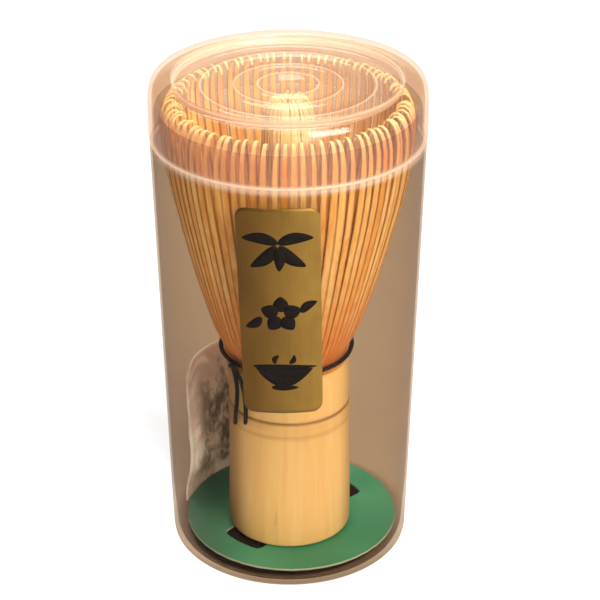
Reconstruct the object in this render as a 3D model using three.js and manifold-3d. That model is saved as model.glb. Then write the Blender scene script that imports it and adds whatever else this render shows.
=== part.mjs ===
// Bamboo tea whisk standing on a green card in a clear round case with a push-on lid.
// Millimetres, +Z up. The origin is the middle of the case's underside and the label faces -Y.
import * as THREE from 'three';
import { mergeVertices } from 'three/addons/utils/BufferGeometryUtils.js';
import Module from 'manifold-3d';

const wasm = await Module();
wasm.setup();

const DEG = Math.PI / 180;
const GAP = 0.3; // air between pieces that rest on each other
const ROUND = 40; // flats round a full turn
const LID_ROUND = 44;

// Case
const CASE_FOOT_R = 28.3; // outside radius where the bottom corner ends
const CASE_FOOT_Z = 1.8;
const CASE_TAPER = 0.02634; // growth of the radius per millimetre of height
const CASE_WALL = 1.0;
const CASE_FLOOR = 0.75;
const SHOULDER_Z = 102.6; // step that the lid's skirt comes down to
const NECK_R = 29.75;
const NECK_TOP_Z = 110;

// Lid
const LID_R = 31.15;
const LID_WALL = 1.0;
const LID_BOTTOM_Z = SHOULDER_Z + GAP;
const LID_TOP_Z = 117;
const LID_PLATE_Z = 114.7; // sunk middle
const LID_SINK_R = 25.5;
const LID_RINGS = [19.5, 12.1, 6.8]; // moulded rings on the sunk middle
const RING_HEIGHT = 0.3;
const RING_WIDTH = 0.7;

// Label
const LABEL_WIDTH = 18.0;
const LABEL_HEIGHT = 50.5;
const LABEL_CORNER = 2.4;
const LABEL_THICK = 0.15;
const LABEL_MIDDLE_Z = 73.5;
const LABEL_TURN = -3.6 * DEG; // its middle is a little to the left of the front
const LABEL_TILT = 1.3 * DEG; // and it is stuck on a little askew
const LABEL_OFF_WALL = 0.12;

// Card and the dark layer under it
const PAD_R = 24.8;
const PAD_THICK = 1.25;
const PAD_Z = CASE_FLOOR + GAP;
const CARD_R = 25.45;
const CARD_SHIFT = 0.5; // along X
const CARD_THICK = 0.5;
const CARD_Z = PAD_Z + PAD_THICK + GAP;
const FLAP_AZIMUTHS = [228.5 * DEG, 41 * DEG];
const FLAP_HALF_WIDTH = 5.7;
const FLAP_HINGE = 6.9; // distance of its fold from the axis
const FLAP_END_R = 18.9;

// Sachet, standing between the card's edge and the wall
const SACHET_FROM = 100 * DEG;
const SACHET_TO = 166 * DEG;
const SACHET_Z = PAD_Z + 0.2;
const SACHET_HEIGHT = 39;
const SACHET_SEAL = 0.35; // half the thickness of the flat edges
const SACHET_FULL = 2.1; // what the filling adds to it in the middle
const SACHET_EDGE_R = 26.3;
const SACHET_LEAN = 1.6; // how far the full middle stands in from the wall

// Bamboo culm
const CULM_Z = CARD_Z + CARD_THICK + GAP;
const CULM_R = 14.65;
const CULM_TOP_R = 14.4;
const CULM_TOP_Z = 47.7;
const CULM_BORE_R = 12.1;
const CULM_UPPER_BORE_R = 11.4;
const GROOVE_Z = 36.4;
const SEPTUM_LOW_Z = 33.8;
const SEPTUM_HIGH_Z = 36.2;

// Tines: the culm's wall is split into sixteen, and each split into finer tines
const ROOT_Z = CULM_TOP_Z + GAP;
const ROOT_HEIGHT = 1.6;
const ROOT_SPLIT = 0.36; // air between neighbouring splits
const OUTER_GROUPS = 16;
const OUTER_PER_GROUP = 5;
const OUTER_WIDTH = 0.95;
const OUTER_ROOT_R = 14.5;
const OUTER_ROOT_THICK = 1.5;
// [outside radius, height, thickness] from the root to the hooked tip
const OUTER_CURVE = [
  [14.5, ROOT_Z + 0.6, 1.3],
  [14.6, 50.6, 1.0],
  [17.6, 57.2, 0.75],
  [20.7, 67, 0.6],
  [26.2, 89, 0.45],
  [28.2, 104, 0.4],
  [27.4, 110.8, 0.4],
  [24.4, 112.3, 0.35],
];
const INNER_GROUPS = 8;
const INNER_PER_GROUP = 4;
const INNER_WIDTH = 0.68;
const INNER_ROOT_R = 12.3;
const INNER_ROOT_THICK = 1.4;
const INNER_CURVE = [
  [12.3, ROOT_Z + 0.6, 0.9],
  [11.9, 55, 0.6],
  [7.9, 84, 0.4],
  [6.3, 104, 0.4],
  [5.7, 108.3, 0.35],
  [4.0, 109.6, 0.35],
];

// The crown fills the case, but the culm's foot stands a little forward of the middle, and the crown's
// root is a little to the left of the culm.
const FOOT_SHIFT = -2.5; // along Y
const FOOT_SHIFT_END_Z = 60;
const ROOT_SHIFT = -0.65; // along X
const ROOT_SHIFT_FROM_Z = 43;
const ROOT_SHIFT_FULL_Z = 48;
const ROOT_SHIFT_END_Z = 88;

// Thread
const THREAD_R = 0.55;
const THREAD_RING_R = 15.4;
const THREAD_RING_Z = 50.1;
const KNOT_AZIMUTH = 220.6 * DEG;
const KNOT_SIZE = [1.0, 1.5, 1.3];
const TAIL_ENDS = [
  { azimuth: 214.5 * DEG, bottom: 33.4 },
  { azimuth: 228.5 * DEG, bottom: 35.0 },
];
const INNER_ROUND_R = 12.85;
const INNER_ROUND_Z = 51.4;

const CLEAR = { color: 0xe8dccd, roughness: 0.08, metalness: 0, transparent: true, opacity: 0.35 };
const GOLD = { color: 0xa8863f, roughness: 0.35, metalness: 0.6 };
const GREEN = { color: 0x2f8f5b, roughness: 0.7, metalness: 0 };
const DARK = { color: 0x2a1a12, roughness: 0.85, metalness: 0 };
const PAPER = { color: 0xcbb9a8, roughness: 0.8, metalness: 0 };
const BAMBOO = { color: 0xe0ae68, roughness: 0.45, metalness: 0 };
const TINE = { color: 0xe3a557, roughness: 0.5, metalness: 0 };
const TUFT = { color: 0xf0d08a, roughness: 0.5, metalness: 0 };
const THREAD = { color: 0x1f1714, roughness: 0.8, metalness: 0 };

const part = new THREE.Group();
part.name = 'tea_whisk_in_case';

function place(name, geometry, look) {
  geometry.computeVertexNormals();
  const mesh = new THREE.Mesh(geometry, new THREE.MeshStandardMaterial(look));
  mesh.name = name;
  part.add(mesh);
}

function welded(geometry) {
  geometry.deleteAttribute('normal');
  geometry.deleteAttribute('uv');
  return mergeVertices(geometry, 1e-4);
}

function toSolid(geometry) {
  const bare = welded(geometry);
  return new wasm.Manifold(new wasm.Mesh({
    numProp: 3,
    vertProperties: new Float32Array(bare.attributes.position.array),
    triVerts: new Uint32Array(bare.index.array),
  }));
}

function fromSolid(solid) {
  const mesh = solid.getMesh();
  const geometry = new THREE.BufferGeometry();
  geometry.setAttribute('position', new THREE.BufferAttribute(new Float32Array(mesh.vertProperties), 3));
  geometry.setIndex(new THREE.BufferAttribute(new Uint32Array(mesh.triVerts), 1));
  return geometry;
}

function joined(solids) {
  return fromSolid(solids.reduce((sum, next) => sum.add(next)));
}

// Share of the way from one height to another, between 0 and 1.
function shareAt(height, from, to) {
  return THREE.MathUtils.clamp((height - from) / (to - from), 0, 1);
}

// Shifts every vertex sideways by how far the whisk is off the case's middle at its height.
function offCentre(geometry) {
  const position = geometry.attributes.position;
  for (let i = 0; i < position.count; i += 1) {
    const z = position.getZ(i);
    const rise = shareAt(z, ROOT_SHIFT_FROM_Z, ROOT_SHIFT_FULL_Z);
    const fall = shareAt(z, ROOT_SHIFT_END_Z, ROOT_SHIFT_FULL_Z);
    position.setX(i, position.getX(i) + ROOT_SHIFT * rise * fall);
    position.setY(i, position.getY(i) + FOOT_SHIFT * shareAt(z, FOOT_SHIFT_END_Z, CULM_Z));
  }
  return geometry;
}

// Turns a profile of [radius, height] pairs about +Z. It runs so that the material is on its left.
function turned(profile, flats = ROUND) {
  const points = profile.map(([radius, height]) => new THREE.Vector2(radius, height));
  return welded(new THREE.LatheGeometry(points, flats).rotateX(Math.PI / 2));
}

// A flat outline in the radius-height plane, as thick as width round the axis, at the given azimuth.
function radialBlade(outline, width, azimuth) {
  const shape = new THREE.Shape(outline.map(([radius, height]) => new THREE.Vector2(radius, height)));
  const blade = new THREE.ExtrudeGeometry(shape, { depth: width, bevelEnabled: false });
  return blade.rotateX(Math.PI / 2).translate(0, width / 2, 0).rotateZ(azimuth);
}

function arcBlock(innerR, outerR, fromAngle, toAngle, bottom, height) {
  const shape = new THREE.Shape();
  shape.absarc(0, 0, outerR, fromAngle, toAngle, false);
  shape.absarc(0, 0, innerR, toAngle, fromAngle, true);
  const options = { depth: height, bevelEnabled: false, curveSegments: 3 };
  return new THREE.ExtrudeGeometry(shape, options).translate(0, 0, bottom);
}

function caseRadius(height) {
  return CASE_FOOT_R + CASE_TAPER * (height - CASE_FOOT_Z);
}

function buildCase() {
  const inside = (height) => caseRadius(height) - CASE_WALL;
  place('case_body', turned([
    [0, 0],
    [CASE_FOOT_R - 0.8, 0],
    [CASE_FOOT_R - 0.25, 0.5],
    [CASE_FOOT_R, CASE_FOOT_Z],
    [caseRadius(SHOULDER_Z - 0.3), SHOULDER_Z - 0.3],
    [caseRadius(SHOULDER_Z) - 0.25, SHOULDER_Z],
    [NECK_R, SHOULDER_Z],
    [NECK_R, NECK_TOP_Z - 0.2],
    [NECK_R - 0.3, NECK_TOP_Z],
    [NECK_R - CASE_WALL, NECK_TOP_Z],
    [NECK_R - CASE_WALL, SHOULDER_Z - 0.2],
    [inside(SHOULDER_Z - 1.6), SHOULDER_Z - 1.6],
    [inside(CASE_FOOT_Z + 0.6), CASE_FOOT_Z + 0.6],
    [CASE_FOOT_R - CASE_WALL - 0.7, CASE_FLOOR],
    [0, CASE_FLOOR],
  ]), CLEAR);
}

function moulding(radius) {
  return [
    [radius + RING_WIDTH / 2, LID_PLATE_Z],
    [radius, LID_PLATE_Z + RING_HEIGHT],
    [radius - RING_WIDTH / 2, LID_PLATE_Z],
  ];
}

function buildLid() {
  const inner = LID_R - LID_WALL;
  const under = LID_PLATE_Z - LID_WALL;
  place('case_lid', turned([
    [0, under],
    [LID_SINK_R - LID_WALL, under],
    [LID_SINK_R - LID_WALL, LID_TOP_Z - LID_WALL],
    [inner - 1.6, LID_TOP_Z - LID_WALL],
    [inner - 0.4, LID_TOP_Z - 1.7],
    [inner, LID_TOP_Z - 2.9],
    [inner, LID_BOTTOM_Z],
    [LID_R - 0.15, LID_BOTTOM_Z],
    [LID_R, LID_BOTTOM_Z + 1],
    [LID_R, LID_TOP_Z - 2.6],
    [LID_R - 0.45, LID_TOP_Z - 1.2],
    [LID_R - 1.35, LID_TOP_Z - 0.3],
    [LID_R - 2.6, LID_TOP_Z],
    [LID_SINK_R + 0.45, LID_TOP_Z],
    [LID_SINK_R + 0.1, LID_TOP_Z - 0.35],
    [LID_SINK_R, LID_PLATE_Z],
    ...LID_RINGS.flatMap(moulding),
    [0, LID_PLATE_Z],
  ], LID_ROUND), CLEAR);
}

// A thin sheet wrapped on the case's wall. Its height shrinks towards the sides to round the corners.
function buildLabel() {
  const sheet = new THREE.BoxGeometry(2, 2, 1, 12, 1, 1);
  const position = sheet.attributes.position;
  for (let i = 0; i < position.count; i += 1) {
    const across = Math.sin(position.getX(i) * Math.PI / 2) * LABEL_WIDTH / 2;
    const past = Math.max(0, Math.abs(across) - (LABEL_WIDTH / 2 - LABEL_CORNER));
    const drop = LABEL_CORNER - Math.sqrt(Math.max(0, LABEL_CORNER ** 2 - past ** 2));
    const up = position.getY(i) * (LABEL_HEIGHT / 2 - drop);
    const side = across * Math.cos(LABEL_TILT) - up * Math.sin(LABEL_TILT);
    const height = LABEL_MIDDLE_Z + up * Math.cos(LABEL_TILT) + across * Math.sin(LABEL_TILT);
    const radius = caseRadius(height) + LABEL_OFF_WALL + (position.getZ(i) + 0.5) * LABEL_THICK;
    const angle = LABEL_TURN + side / caseRadius(LABEL_MIDDLE_Z);
    position.setXYZ(i, radius * Math.sin(angle), -radius * Math.cos(angle), height);
  }
  place('label', welded(sheet), GOLD);
}

function flapOutline(azimuth) {
  const half = Math.asin(FLAP_HALF_WIDTH / FLAP_END_R) * 0.9;
  const outline = [[FLAP_HINGE, -FLAP_HALF_WIDTH], [FLAP_END_R * 0.9, -FLAP_HALF_WIDTH]];
  for (let i = -3; i <= 3; i += 1) {
    outline.push([FLAP_END_R * Math.cos(half * i / 3), FLAP_END_R * Math.sin(half * i / 3)]);
  }
  outline.push([FLAP_END_R * 0.9, FLAP_HALF_WIDTH], [FLAP_HINGE, FLAP_HALF_WIDTH]);
  const middle = new THREE.Vector2(0, 0);
  return outline.map(([along, side]) => new THREE.Vector2(along, side).rotateAround(middle, azimuth));
}

function buildCard() {
  const disc = new THREE.Shape();
  disc.absarc(0, 0, CARD_R, 0, 2 * Math.PI, false);
  FLAP_AZIMUTHS.forEach((azimuth) => disc.holes.push(new THREE.Path(flapOutline(azimuth))));
  const options = { depth: CARD_THICK, bevelEnabled: false, curveSegments: ROUND / 2 };
  const sheet = new THREE.ExtrudeGeometry(disc, options).translate(0, 0, CARD_Z);
  const length = FLAP_END_R - FLAP_HINGE;
  const flap = (azimuth) => new THREE.BoxGeometry(CARD_THICK, 2 * FLAP_HALF_WIDTH, length)
    .translate(FLAP_HINGE - CARD_THICK / 2, 0, CARD_Z + length / 2)
    .rotateZ(azimuth);
  const card = joined([sheet, ...FLAP_AZIMUTHS.map(flap)].map(toSolid));
  place('card_stand', card.translate(CARD_SHIFT, 0, 0), GREEN);
  const pad = [[0, PAD_Z], [PAD_R, PAD_Z], [PAD_R, PAD_Z + PAD_THICK], [0, PAD_Z + PAD_THICK]];
  place('dark_pad', turned(pad), DARK);
}

// A pillow bent along the wall: flat sealed edges, full in the middle, its foot behind the card's edge.
function buildSachet() {
  const pillow = new THREE.BoxGeometry(2, 2, 2, 8, 8, 1);
  const position = pillow.attributes.position;
  for (let i = 0; i < position.count; i += 1) {
    const along = position.getX(i);
    const up = position.getY(i);
    const height = SACHET_Z + (up + 1) / 2 * SACHET_HEIGHT;
    const clearOfCard = THREE.MathUtils.smoothstep(height, CARD_Z + CARD_THICK, SACHET_Z + 12);
    const full = (1 - along ** 4) * (1 - up ** 6) * clearOfCard;
    const middleR = SACHET_EDGE_R - SACHET_LEAN * clearOfCard * (1 - 0.5 * Math.max(0, up));
    const radius = middleR + position.getZ(i) * (SACHET_SEAL + SACHET_FULL * full);
    const angle = THREE.MathUtils.lerp(SACHET_FROM, SACHET_TO, (along + 1) / 2);
    position.setXYZ(i, radius * Math.cos(angle), radius * Math.sin(angle), height);
  }
  place('desiccant_sachet', welded(pillow), PAPER);
}

function buildCulm() {
  place('culm_handle', offCentre(turned([
    [0, SEPTUM_LOW_Z],
    [CULM_BORE_R - 0.3, SEPTUM_LOW_Z - 1],
    [CULM_BORE_R, CULM_Z],
    [CULM_R - 0.25, CULM_Z],
    [CULM_R, CULM_Z + 0.4],
    [CULM_R - 0.05, 12],
    [CULM_R - 0.25, 28],
    [CULM_R - 0.32, GROOVE_Z - 4],
    [CULM_R - 0.08, GROOVE_Z - 2.9],
    [CULM_R - 0.05, GROOVE_Z - 1.4],
    [CULM_R - 0.45, GROOVE_Z],
    [CULM_R - 0.28, GROOVE_Z + 0.6],
    [CULM_TOP_R, 43],
    [CULM_TOP_R + 0.1, CULM_TOP_Z],
    [CULM_UPPER_BORE_R, CULM_TOP_Z],
    [CULM_UPPER_BORE_R, SEPTUM_HIGH_Z + 1],
    [0, SEPTUM_HIGH_Z],
  ])), BAMBOO);
}

// The outline of one tine seen from the side, up its outer face and down its inner face.
function tineOutline(curve) {
  const outside = curve.map(([radius, height]) => new THREE.Vector2(radius, height));
  const inside = outside.map((point, i) => {
    const before = outside[Math.max(0, i - 1)];
    const after = outside[Math.min(outside.length - 1, i + 1)];
    const along = after.clone().sub(before).normalize();
    return new THREE.Vector2(point.x - along.y * curve[i][2], point.y + along.x * curve[i][2]);
  });
  return [...outside, ...inside.reverse()].map((point) => [point.x, point.y]);
}

function tineGroup(rootR, rootThick, curve, count, width, from, to) {
  const split = ROOT_SPLIT / rootR / 2;
  const root = arcBlock(rootR - rootThick, rootR, from + split, to - split, ROOT_Z, ROOT_HEIGHT);
  const outline = tineOutline(curve);
  const pitch = (to - from) / count;
  const azimuths = Array.from({ length: count }, (_, i) => from + pitch * (i + 0.5));
  const tines = azimuths.map((azimuth) => radialBlade(outline, width, azimuth));
  return offCentre(joined([root, ...tines].map(toSolid)));
}

function buildTines() {
  const outerTurn = 2 * Math.PI / OUTER_GROUPS;
  for (let i = 0; i < OUTER_GROUPS; i += 1) {
    const group = tineGroup(OUTER_ROOT_R, OUTER_ROOT_THICK, OUTER_CURVE, OUTER_PER_GROUP, OUTER_WIDTH,
      i * outerTurn, (i + 1) * outerTurn);
    place(`outer_tines_${String(i + 1).padStart(2, '0')}`, group, TINE);
  }
  const innerTurn = 2 * Math.PI / INNER_GROUPS;
  for (let i = 0; i < INNER_GROUPS; i += 1) {
    const group = tineGroup(INNER_ROOT_R, INNER_ROOT_THICK, INNER_CURVE, INNER_PER_GROUP, INNER_WIDTH,
      i * innerTurn, (i + 1) * innerTurn);
    place(`inner_tines_${i + 1}`, group, TUFT);
  }
}

function onAxisCircle(radius, azimuth, height) {
  return new THREE.Vector3(radius * Math.cos(azimuth), radius * Math.sin(azimuth), height);
}

// A loose end runs from the knot down the culm and over the swelling at the node.
function threadTail({ azimuth, bottom }) {
  const lerp = THREE.MathUtils.lerp;
  const path = new THREE.CatmullRomCurve3([
    onAxisCircle(THREAD_RING_R + 0.4, lerp(KNOT_AZIMUTH, azimuth, 0.1), THREAD_RING_Z - 0.2),
    onAxisCircle(CULM_R + 0.6, lerp(KNOT_AZIMUTH, azimuth, 0.5), THREAD_RING_Z - 4),
    onAxisCircle(CULM_R + 0.6, lerp(KNOT_AZIMUTH, azimuth, 0.85), GROOVE_Z + 3),
    onAxisCircle(CULM_R + 0.8, azimuth, bottom),
  ]);
  const section = new THREE.Shape();
  section.absarc(0, 0, THREAD_R, 0, 2 * Math.PI, false);
  return new THREE.ExtrudeGeometry(section, { extrudePath: path, steps: 8, curveSegments: 3 });
}

function buildThread() {
  const ring = new THREE.TorusGeometry(THREAD_RING_R, THREAD_R, 6, ROUND).translate(0, 0, THREAD_RING_Z);
  const knotAt = onAxisCircle(THREAD_RING_R + 0.5, KNOT_AZIMUTH, THREAD_RING_Z - 0.3);
  const knot = new THREE.SphereGeometry(1, 10, 7)
    .scale(...KNOT_SIZE)
    .rotateZ(KNOT_AZIMUTH)
    .translate(knotAt.x, knotAt.y, knotAt.z);
  const tails = TAIL_ENDS.map(threadTail);
  place('binding_thread', offCentre(joined([ring, knot, ...tails].map(toSolid))), THREAD);
  const round = new THREE.TorusGeometry(INNER_ROUND_R, THREAD_R, 5, ROUND).translate(0, 0, INNER_ROUND_Z);
  place('inner_thread_round', offCentre(welded(round)), THREAD);
}

buildCase();
buildLid();
buildLabel();
buildCard();
buildSachet();
buildCulm();
buildTines();
buildThread();

export default part;
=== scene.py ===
import math

import bpy
import numpy as np
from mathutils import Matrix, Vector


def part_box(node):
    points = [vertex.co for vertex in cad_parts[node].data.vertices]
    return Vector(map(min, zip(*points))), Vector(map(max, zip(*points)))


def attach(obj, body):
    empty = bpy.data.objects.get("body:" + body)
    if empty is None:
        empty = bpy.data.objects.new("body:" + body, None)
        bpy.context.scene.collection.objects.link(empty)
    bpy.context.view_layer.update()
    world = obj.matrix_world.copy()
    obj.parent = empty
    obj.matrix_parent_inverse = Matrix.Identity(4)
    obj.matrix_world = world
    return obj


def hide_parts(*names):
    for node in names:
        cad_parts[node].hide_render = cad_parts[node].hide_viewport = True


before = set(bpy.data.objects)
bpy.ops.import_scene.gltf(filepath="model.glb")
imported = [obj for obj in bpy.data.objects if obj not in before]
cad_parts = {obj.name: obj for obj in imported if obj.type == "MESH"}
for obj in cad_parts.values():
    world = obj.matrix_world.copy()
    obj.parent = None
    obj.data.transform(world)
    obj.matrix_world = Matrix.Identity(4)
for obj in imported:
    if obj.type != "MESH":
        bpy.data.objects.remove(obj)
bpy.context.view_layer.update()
mm = 0.001


def meshFromArrays(name, points, faces, smooth=True):
    # points is an n by 3 array in millimetres, faces a list of index rows that wind outwards
    mesh = bpy.data.meshes.new(name)
    mesh.from_pydata((points * mm).tolist(), [], faces)
    mesh.polygons.foreach_set("use_smooth", np.full(len(mesh.polygons), smooth))
    mesh.update()
    piece = bpy.data.objects.new(name, mesh)
    bpy.context.scene.collection.objects.link(piece)
    return piece


def gridFaces(rows, columns, wrapRows=False, wrapColumns=False, offset=0):
    # quads between neighbouring rows and columns of a grid laid out row by row
    r = np.arange(rows if wrapRows else rows - 1)
    c = np.arange(columns if wrapColumns else columns - 1)
    r, c = np.meshgrid(r, c, indexing="ij")
    nextR = (r + 1) % rows
    nextC = (c + 1) % columns
    here = r * columns
    above = nextR * columns
    quads = np.stack([here + c, here + nextC, above + nextC, above + c], -1)
    return quads.reshape(-1, 4) + offset


def closedSheet(front, back, offset=0):
    # faces of a thin closed solid between two grids of the same size: front, back and the rim round them
    rows, columns = front.shape[:2]
    size = rows * columns
    faces = gridFaces(rows, columns).tolist()
    faces += gridFaces(rows, columns, offset=size)[:, ::-1].tolist()
    grid = np.arange(size).reshape(rows, columns)
    rim = np.concatenate([grid[0, :], grid[1:, -1], grid[-1, -2::-1], grid[-2:0:-1, 0]])
    following = np.roll(rim, -1)
    faces += np.stack([rim + size, following + size, following, rim], -1).tolist()
    points = np.vstack([front.reshape(-1, 3), back.reshape(-1, 3)])
    return points, (np.array(faces) + offset).tolist()


def finer(profile, steps):
    # each straight stretch of a profile gets steps points, evenly spaced, so that bends can be rounded
    profile = np.asarray(profile, float)
    t = np.linspace(0, 1, steps, endpoint=False)[:, None]
    parts = [a + (b - a) * t for a, b in zip(profile[:-1], profile[1:])]
    return np.vstack([*parts, profile[-1:]])


def rounded(profile, reach, steps=4):
    # every inner corner is cut back by reach and joined by the curve (1-t)^2 a + 2t(1-t) corner + t^2 b
    profile = np.asarray(profile, float)
    t = np.linspace(0, 1, steps)[:, None]
    out = [profile[:1]]
    for before, corner, after in zip(profile[:-2], profile[1:-1], profile[2:]):
        back = min(reach, 0.45 * np.linalg.norm(before - corner))
        on = min(reach, 0.45 * np.linalg.norm(after - corner))
        a = corner + (before - corner) / np.linalg.norm(before - corner) * back
        b = corner + (after - corner) / np.linalg.norm(after - corner) * on
        out.append((1 - t) ** 2 * a + 2 * t * (1 - t) * corner + t ** 2 * b)
    return np.vstack([*out, profile[-1:]])


def turnedPiece(name, profile, turns, swell=None, shift=None):
    # surface of revolution: point = (r cos a, r sin a, z) for each (r, z) of the profile, where swell(a, z)
    # multiplies r and shift moves the finished points; the profile's two ends lie on the axis as poles
    profile = np.asarray(profile, float)
    ring = profile[1:-1]
    a = np.linspace(0, 2 * math.pi, turns, endpoint=False)
    r = ring[:, :1] * np.ones_like(a)
    z = ring[:, 1:] * np.ones_like(a)
    if swell is not None:
        r = r * swell(a[None, :], z)
    grid = np.stack([r * np.cos(a), r * np.sin(a), z], -1).reshape(-1, 3)
    poles = np.array([[0, 0, profile[0, 1]], [0, 0, profile[-1, 1]]])
    quads = gridFaces(len(ring), turns, wrapColumns=True).tolist()
    first, last = len(grid), len(grid) + 1
    i = np.arange(turns)
    j = (i + 1) % turns
    top = (len(ring) - 1) * turns
    fans = np.stack([np.full(turns, first), j, i], -1).tolist()
    fans += np.stack([np.full(turns, last), top + i, top + j], -1).tolist()
    points = np.vstack([grid, poles])
    return meshFromArrays(name, points if shift is None else shift(points), quads + fans)


def smoothPath(points, count):
    # Catmull-Rom curve through the points, sampled count times at even parameter steps: half of
    # 2b + (c - a) t + (2a - 5b + 4c - d) t^2 + (3b - a - 3c + d) t^3 between b and c
    p = np.asarray(points, float)
    p = np.vstack([2 * p[0] - p[1], p, 2 * p[-1] - p[-2]])
    u = np.linspace(0, len(p) - 3 - 1e-9, count)
    k = u.astype(int)
    t = (u - k)[:, None]
    a, b, c, d = p[k], p[k + 1], p[k + 2], p[k + 3]
    square = (2 * a - 5 * b + 4 * c - d) * t ** 2
    cube = (3 * b - a - 3 * c + d) * t ** 3
    return 0.5 * (2 * b + (c - a) * t + square + cube)


def newMaterial(name):
    material = bpy.data.materials.new(name)
    material.use_nodes = True
    material.node_tree.nodes.clear()
    return material, material.node_tree


def node(tree, kind, values=None, **settings):
    made = tree.nodes.new(kind)
    for key, value in settings.items():
        setattr(made, key, value)
    for key, value in (values or {}).items():
        if isinstance(value, bpy.types.NodeSocket):
            tree.links.new(value, made.inputs[key])
        else:
            made.inputs[key].default_value = value
    return made


def maths(tree, operation, *values, clamp=False):
    made = tree.nodes.new("ShaderNodeMath")
    made.operation = operation
    made.use_clamp = clamp
    for socket, value in zip(made.inputs, values):
        if isinstance(value, bpy.types.NodeSocket):
            tree.links.new(value, socket)
        else:
            socket.default_value = value
    return made.outputs[0]


def mixColour(tree, factor, a, b, blend="MIX"):
    made = tree.nodes.new("ShaderNodeMix")
    made.data_type = "RGBA"
    made.blend_type = blend
    for socket, value in ((made.inputs[0], factor), (made.inputs[6], a), (made.inputs[7], b)):
        if isinstance(value, bpy.types.NodeSocket):
            tree.links.new(value, socket)
        else:
            socket.default_value = value
    return made.outputs[2]


def stretchedNoise(tree, stretch, scale, detail=4.0, rough=0.55, source=None):
    # noise on Object coordinates, squeezed by stretch along x, y and z
    if source is None:
        source = node(tree, "ShaderNodeTexCoord").outputs["Object"]
    mapped = node(tree, "ShaderNodeMapping", {"Vector": source, "Scale": stretch})
    values = {"Vector": mapped.outputs[0], "Scale": scale, "Detail": detail, "Roughness": rough}
    return node(tree, "ShaderNodeTexNoise", values).outputs["Fac"]


def band(tree, value, middle, halfWidth):
    # 1 at middle, falling evenly to 0 at halfWidth either side
    away = maths(tree, "ABSOLUTE", maths(tree, "SUBTRACT", value, middle))
    return maths(tree, "SUBTRACT", 1.0, maths(tree, "DIVIDE", away, halfWidth), clamp=True)


def between(tree, value, low, high, toLow=0.0, toHigh=1.0):
    values = {"Value": value, "From Min": low, "From Max": high, "To Min": toLow, "To Max": toHigh}
    return node(tree, "ShaderNodeMapRange", values, clamp=True, interpolation_type="SMOOTHSTEP").outputs[0]


def addBump(tree, height, strength, distance):
    values = {"Height": height, "Strength": strength, "Distance": distance}
    return node(tree, "ShaderNodeBump", values).outputs[0]


def finishSurface(tree, shader):
    output = node(tree, "ShaderNodeOutputMaterial")
    tree.links.new(shader, output.inputs["Surface"])


camera = {
    "lens": 120.0,
    "distance": 412.2,
    "height": 276.75,
    "lookDown": 27.62,
    "turn": -0.36,
}


def makeCamera():
    data = bpy.data.cameras.new("viewCamera")
    data.lens = camera["lens"]
    data.sensor_width = 36.0
    data.clip_start = 0.01
    data.clip_end = 20.0
    eye = bpy.data.objects.new("viewCamera", data)
    eye.location = (0, -camera["distance"] * mm, camera["height"] * mm)
    eye.rotation_euler = (math.radians(90 - camera["lookDown"]), 0, math.radians(camera["turn"]))
    bpy.context.scene.collection.objects.link(eye)
    bpy.context.scene.camera = eye
    print("camera ready")


makeCamera()


caseLook = {
    "tint": (0.735, 0.658, 0.572, 1),    # what one surface of the wall lets through
    "edgeTint": (0.60, 0.50, 0.40, 1),   # the same where the wall is seen along its face
    "zoneTint": (0.57, 0.46, 0.36, 1),   # and in the thick corner at the foot
    "zone": (2.4, 1.4),                  # heights between which the foot's tint sets in
    "neckTint": (0.93, 0.88, 0.83, 1),   # the neck under the lid is thinner and clearer
    "veil": (0.62, 0.47, 0.37, 1),       # colour of the faint haze on the plastic
    "haze": 0.0,
    "edgeLightHaze": 0.3,
    "shine": 0.004,                      # how much a surface seen straight on mirrors
    "grazing": 0.16,                     # and how much more it mirrors when seen along its face
    "gloss": 0.05,
    "ripple": 0.03,                      # strength of the fine unevenness of the surface
}
lidLook = {
    "tint": (0.955, 0.87, 0.775, 1),
    "edgeTint": (0.86, 0.72, 0.60, 1),
    "zoneTint": (0.805, 0.67, 0.58, 1),
    "zone": (114.2, 112.0),              # the skirt is a little darker than the top
    "veil": (0.98, 0.78, 0.58, 1),
    "haze": 0.02,
    "plateHaze": 0.065,                  # the sunk middle is milkier than the rest
    "edgeLightHaze": 0.35,
    "shine": 0.028,
    "grazing": 0.2,
    "gloss": 0.1,
    "ripple": 0.12,
    "rings": (25.5, 19.5, 12.1, 6.8),
}


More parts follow.
